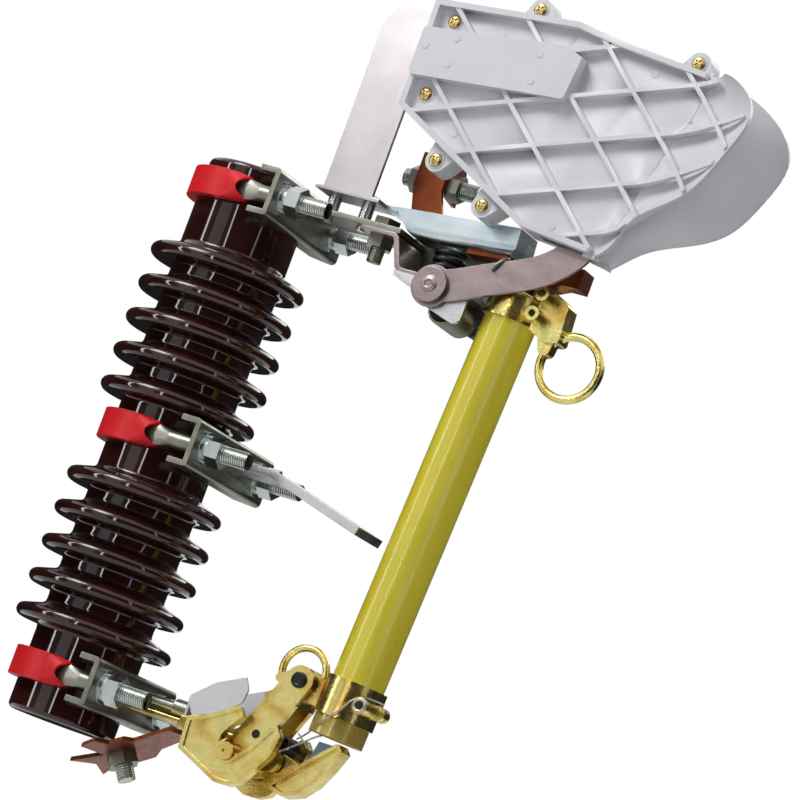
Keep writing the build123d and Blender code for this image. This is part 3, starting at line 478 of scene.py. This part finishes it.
def rivet_rim(r, angle):
    """Hollow rivet's rolled rim."""
    return 0.7 * MM * math.sin(math.pi * min(1, max(0, (r - 0.55) / 0.45)))


def flat(height):
    """Face at one height all over."""
    return lambda r, angle: height


# Places on the chute's side view, in millimetres from its lower inner corner. A mark's third number, and
# the two distances after the marks, are how far out it stands from the chute's middle plane.
SCREWS = ((73.5, 153.3), (195.7, 142.6), (38, 36.7), (82, 14.5), (15.7, 131.5), (13.8, 78.7))
MARKS = ((52.3, 131.5, 9), (168.5, 129, 9), (43.7, 57.1, 9), (135, 13, 9), (5.5, 109.2, 19),
         (26.5, 118.5, 19), (26.1, 99.8, 19), (88.8, 121.5, 19), (89, 102.4, 19))
SCREW_OUT, SEAT_OUT = 9.6, 9.1


def chute_details():
    """Brass cross-head screws and the ejector marks."""
    low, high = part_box("chute_near")
    corner = Vector((low.x, high.y, low.z + 1.9 * MM))
    for i, (x, z) in enumerate(SCREWS):
        dial(f"chute_screw_{i + 1}", corner + mm(x, -SCREW_OUT, z), 4.6 * MM, cross_recess, "screw_brass",
             "frame", 1.5 * MM)
        dial(f"chute_screw_seat_{i + 1}", corner + mm(x, -SEAT_OUT, z), 6.2 * MM, screw_seat,
             "white_plastic", "frame", 0.3 * MM)
    for i, (x, z, out) in enumerate(MARKS):
        dial(f"ejector_mark_{i + 1}", corner + mm(x, -out, z), 3.0 * MM, ejector_mark, "white_plastic",
             "frame", 0.2 * MM)


def fittings():
    """The tube clamp's screw, the ear's rivet, the link's hole and the lever's washer, with black discs of
    painted shade in the socket, the rivet's hollow and the hole.
    """
    low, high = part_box("tube_clamp")
    boss = Vector((high.x - 11.3 * MM, low.y, middle(low, high).z - 0.9 * MM))
    dial("clamp_washer", boss, 5.6 * MM, raised_ring, "pale_washer", "fuse_holder", 0.3 * MM)
    # Black disc of painted shade in the screw's socket.
    dial("clamp_socket_painted_shade", boss - mm(0, 0.5, 0), 3.1 * MM, flat(0.1 * MM), "painted_hole_shade_and_flag_black", "fuse_holder",
         0.4 * MM)
    low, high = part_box("ear_rivet")
    centre = middle(low, high)
    # The rivet's rolled rim round a flat black centre of painted shade that stands for its hollow.
    dial("ear_hollow_painted_shade", (centre.x, low.y - 0.05 * MM, centre.z), 5.2 * MM, rivet_rim, "painted_hole_shade_and_flag_black",
         "fuse_holder", 0.4 * MM)
    low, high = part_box("toggle_link")
    hole = Vector((0, low.y, 0)) + mm(10.5, 0, -158.8)
    # Black disc of painted shade where the link's hole is.
    dial("link_hole_painted_shade", hole, 3.0 * MM, flat(0.15 * MM), "painted_hole_shade_and_flag_black", "fuse_holder", 0.3 * MM)
    low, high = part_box("lever_pivot")
    centre = middle(low, high)
    dial("pivot_washer_face", (centre.x, low.y, centre.z), 12.4 * MM, hex_socket, "pink_zinc", "frame",
         0.2 * MM)


chute_details()
fittings()


# Soft ends of the clamp covers, in millimetres. They start behind the insulator's axis and end in a
# thin mouth with a lining. Depth and height are half the strap's, and grow and shrink towards the mouth.
SLEEVE_OVERLAP = 1.5
SLEEVE_REACH = 17.0
SLEEVE_CUT = 7.0
SLEEVE_WALL = 1.4
LINING_STEP = 2.5
STRAP_DEPTH, SWELL = 3.75, 4.2
STRAP_HEIGHT, NARROWING = 10.3, 1.9


def sleeve_end(name, centre, away):
    """Cover drawn down from the flat strap to the round rod, its mouth cut back on the outer side."""
    rows, sides = 9, 32
    verts = []
    for i in range(rows + 3):
        share = min(i, rows - 1) / (rows - 1)
        inner = SLEEVE_WALL * max(0, min(1, i - rows + 1))
        for k in range(sides):
            angle = 2 * math.pi * k / sides
            c, s = math.cos(angle), math.sin(angle)
            reach = SLEEVE_REACH - SLEEVE_CUT * max(0.0, c * away) ** 2
            x = -SLEEVE_OVERLAP + (reach + SLEEVE_OVERLAP) * share - LINING_STEP * max(0, i - rows)
            power = 0.45 + 0.55 * share
            across = (STRAP_DEPTH + SWELL * share - inner) * math.copysign(abs(c) ** power, c)
            tall = (STRAP_HEIGHT - NARROWING * share * share - inner) * math.copysign(abs(s) ** power, s)
            verts.append(centre + mm(x, across, tall))
    add_mesh(name, verts, turned_over(skin(rows + 2, sides)), "red_sleeve", "frame")


def sleeve_ends():
    """Both ends of the three clamp covers."""
    axis_x = (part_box("insulator")[0].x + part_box("insulator")[1].x) / 2
    for level in ("upper", "middle", "lower"):
        low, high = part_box(level + "_hoop")
        for side, away in (("near", -1), ("far", 1)):
            centre = Vector((axis_x, away * (high.y - ROD_RADIUS), middle(low, high).z))
            sleeve_end(f"{level}_{side}_sleeve_end", centre, away)


sleeve_ends()


# Springs, wires and thin plates, in millimetres
LEVER_HOOK = ((54, -18, 168), (60, -19, 180), (66, -20, 187.5), (70.3, -23, 189.8), (70.2, -27, 188.4),
              (67.6, -29.6, 184), (64.2, -29.9, 178.7))
LEADER = ((86.3, -4, -114), (81.6, -12, -113.6), (76, -17, -114.4), (71.2, -20.6, -118.6),
          (66.4, -22.6, -126.7), (60.1, -22.6, -133.8), (51.3, -17, -141.5), (44, -10, -147),
          (36, -6, -153))
LEADER_TAIL = ((56, -6, -144), (50.1, -8.3, -147.5), (42, -8.4, -153.9), (34.1, -8.6, -160),
               (24.8, -8.8, -167.3))
FLIP_SPRING_ARM = ((36.6, -8, -149.2), (42, -8.4, -153), (47.3, -8.8, -156.9))
LEAF_OUTLINE = ((45.5, -166.2), (54, -157.8), (62, -149.6), (49.5, -149.8))
FLANGE_OUTLINE = ((-31.5, 195), (-27, 171.5), (-15, 169), (22, 158), (40, 151.6), (57, 157.5), (57, 189),
                  (42, 195))


def springs_and_wires():
    """Torsion springs, the fuse link's leader, the small sprung leaf and the bracket's far cheek."""
    coil("lever_spring_coil", (33.5, 146.4), 17.5, 9.0, 1.2, 11, "galvanised", "frame")
    wire("lever_spring_hook", LEVER_HOOK, 1.25, "galvanised", "load_break")
    coil("flip_spring_coil", (29, -159.5), 8.6, 5.2, 1.0, 7, "black_steel", "fuse_holder")
    wire("fuse_leader", LEADER, 0.6, "bare_wire", "fuse_holder")
    wire("fuse_leader_tail", LEADER_TAIL, 0.6, "bare_wire", "fuse_holder")
    wire("flip_spring_arm", FLIP_SPRING_ARM, 0.55, "bare_wire", "fuse_holder")
    plate("flip_leaf", LEAF_OUTLINE, -0.6, 0.6, "blue_leaf", "flipper")
    plate("bracket_flange", FLANGE_OUTLINE, 21.3, 23.7, "galvanised", "frame")


springs_and_wires()


# World, lamps, reflection cards, floor and camera

def larger(tree, first, second):
    """The larger of two values."""
    node = tree.nodes.new("ShaderNodeMath")
    node.operation = "MAXIMUM"
    tree.links.new(first, node.inputs[0])
    tree.links.new(second, node.inputs[1])
    return node.outputs[0]


def backdrop_shader(tree, lit, shown):
    """The shown shader for camera, glossy and transmission rays, and the lit one for the rest."""
    path = tree.nodes.new("ShaderNodeLightPath")
    mirror = larger(tree, path.outputs["Is Camera Ray"], path.outputs["Is Glossy Ray"])
    mix = tree.nodes.new("ShaderNodeMixShader")
    tree.links.new(larger(tree, mirror, path.outputs["Is Transmission Ray"]), mix.inputs["Fac"])
    tree.links.new(lit, mix.inputs[1])
    tree.links.new(shown, mix.inputs[2])
    return mix.outputs[0]


def plain_light(tree, kind, colour, strength):
    """Background or emission node of one colour."""
    node = tree.nodes.new(kind)
    node.inputs["Color"].default_value = (*colour, 1)
    node.inputs["Strength"].default_value = strength
    return node.outputs[0]


def build_world():
    """White to the camera and in reflections, and soft grey light on the part."""
    world = bpy.data.worlds.new("studio")
    bpy.context.scene.world = world
    world.use_nodes = True
    tree = world.node_tree
    tree.nodes.clear()
    output = tree.nodes.new("ShaderNodeOutputWorld")
    dim = plain_light(tree, "ShaderNodeBackground", (0.82, 0.84, 0.88), 0.31)
    white = plain_light(tree, "ShaderNodeBackground", (1, 1, 1), 1.0)
    tree.links.new(backdrop_shader(tree, dim, white), output.inputs["Surface"])


def add_lamp(name, place, aim, size, power):
    """Soft rectangular lamp."""
    data = bpy.data.lights.new(name, "AREA")
    data.shape = "RECTANGLE"
    data.size, data.size_y = size
    data.energy = power
    obj = bpy.data.objects.new(name, data)
    obj.location = place
    obj.rotation_euler = (Vector(aim) - Vector(place)).to_track_quat("-Z", "Y").to_euler()
    bpy.context.scene.collection.objects.link(obj)


def glow(name, strength):
    """Plain emitting material for a card."""
    made = bpy.data.materials.new(name)
    made.use_nodes = True
    tree = made.node_tree
    tree.nodes.clear()
    output = tree.nodes.new("ShaderNodeOutputMaterial")
    tree.links.new(plain_light(tree, "ShaderNodeEmission", (1, 1, 1), strength), output.inputs["Surface"])
    return made


def add_card(name, headings, reach, heights, material):
    """Curved card between two headings from the camera, seen only in reflections."""
    first, last = headings
    degrees_per_step = 6
    steps = max(2, int((last - first) / degrees_per_step))
    verts = []
    for i in range(steps + 1):
        heading = math.radians(AZIMUTH + first + (last - first) * i / steps)
        verts += [(reach * math.sin(heading), -reach * math.cos(heading), z) for z in heights]
    faces = [(2 * i, 2 * i + 2, 2 * i + 3, 2 * i + 1) for i in range(steps)]
    card = bpy.data.meshes.new(name)
    card.from_pydata(verts, [], faces)
    card.materials.append(material)
    obj = bpy.data.objects.new(name, card)
    bpy.context.scene.collection.objects.link(obj)
    obj.visible_camera = obj.visible_diffuse = obj.visible_shadow = obj.visible_transmission = False


def build_cards():
    """Dark flags round the part, a dim window between them and its bright edges."""
    far_reach, far_span = 1.15, (-0.42, 0.62)
    near_reach, near_span, top_span = 1.12, (-0.40, 0.60), (0.56, 0.60)
    for i, headings in enumerate(((-175, -86), (-29, 31), (35, 175))):
        add_card(f"flag_{i + 1}", headings, far_reach, far_span, look["painted_hole_shade_and_flag_black"])
    dim, mid = glow("window_dim", 0.18), glow("window_mid", 0.85)
    for i, (headings, shine) in enumerate((((-86, -67), dim), ((-67, -43), mid), ((-43, -29), dim))):
        add_card(f"window_{i + 1}", headings, far_reach, far_span, shine)
    edge = glow("edge_glow", 9.0)
    add_card("edge_left", (-84, -80), near_reach, near_span, edge)
    add_card("edge_right", (-34, -31), near_reach, near_span, edge)
    add_card("edge_top", (-84, -31), near_reach, top_span, edge)
    add_card("edge_far", (32, 34), near_reach, near_span, glow("far_glow", 2.5))


def floor_material():
    """Pale floor that is mostly white to the camera and keeps a faint shadow."""
    made = bpy.data.materials.new("floor_pale")
    made.use_nodes = True
    tree = made.node_tree
    matt = tree.nodes["Principled BSDF"]
    matt.inputs["Base Color"].default_value = (0.86, 0.86, 0.87, 1)
    matt.inputs["Roughness"].default_value = 0.7
    part_white = tree.nodes.new("ShaderNodeMixShader")
    part_white.inputs["Fac"].default_value = 0.85
    tree.links.new(matt.outputs[0], part_white.inputs[1])
    tree.links.new(plain_light(tree, "ShaderNodeEmission", (1, 1, 1), 1.0), part_white.inputs[2])
    tree.links.new(backdrop_shader(tree, matt.outputs[0], part_white.outputs[0]),
                   tree.nodes["Material Output"].inputs["Surface"])
    return made


def build_floor():
    """Wide floor, low enough for the fuse tube to swing down over it."""
    size, height = 40.0, -1.5
    corners = [(-size, -size, height), (size, -size, height), (size, size, height), (-size, size, height)]
    floor = bpy.data.meshes.new("floor")
    floor.from_pydata(corners, [], [(0, 1, 2, 3)])
    obj = bpy.data.objects.new("floor", floor)
    bpy.context.scene.collection.objects.link(obj)
    floor.materials.append(floor_material())


def build_camera():
    """Camera at the photograph's angle, rolled as the photograph is."""
    azimuth, elevation, roll = (math.radians(v) for v in (AZIMUTH, ELEVATION, ROLL))
    back = Vector((math.sin(azimuth) * math.cos(elevation), -math.cos(azimuth) * math.cos(elevation),
                   math.sin(elevation)))
    right = Vector((math.cos(azimuth), math.sin(azimuth), 0))
    up = back.cross(right)
    across = right * math.cos(roll) + up * math.sin(roll)
    upward = up * math.cos(roll) - right * math.sin(roll)
    data = bpy.data.cameras.new("camera")
    data.lens = FOCAL_MM
    data.sensor_width = SENSOR_MM
    data.sensor_fit = "HORIZONTAL"
    data.clip_end = 50
    camera = bpy.data.objects.new("camera", data)
    columns = Matrix((across, upward, back)).transposed().to_4x4()
    camera.matrix_world = Matrix.Translation(TARGET + back * DISTANCE) @ columns
    bpy.context.scene.collection.objects.link(camera)
    bpy.context.scene.camera = camera


build_world()
add_lamp("key", (-1.0, -1.3, 1.6), (0, 0, 0.05), (0.9, 0.9), 29)
add_lamp("fill", (1.6, -1.5, 0.3), (0, 0, 0), (1.2, 1.2), 5)
add_lamp("rim", (0.3, 1.6, 1.2), (0, 0, 0.05), (1.2, 0.8), 10)
build_cards()
build_floor()
build_camera()
bpy.context.scene.view_settings.view_transform = "Standard"
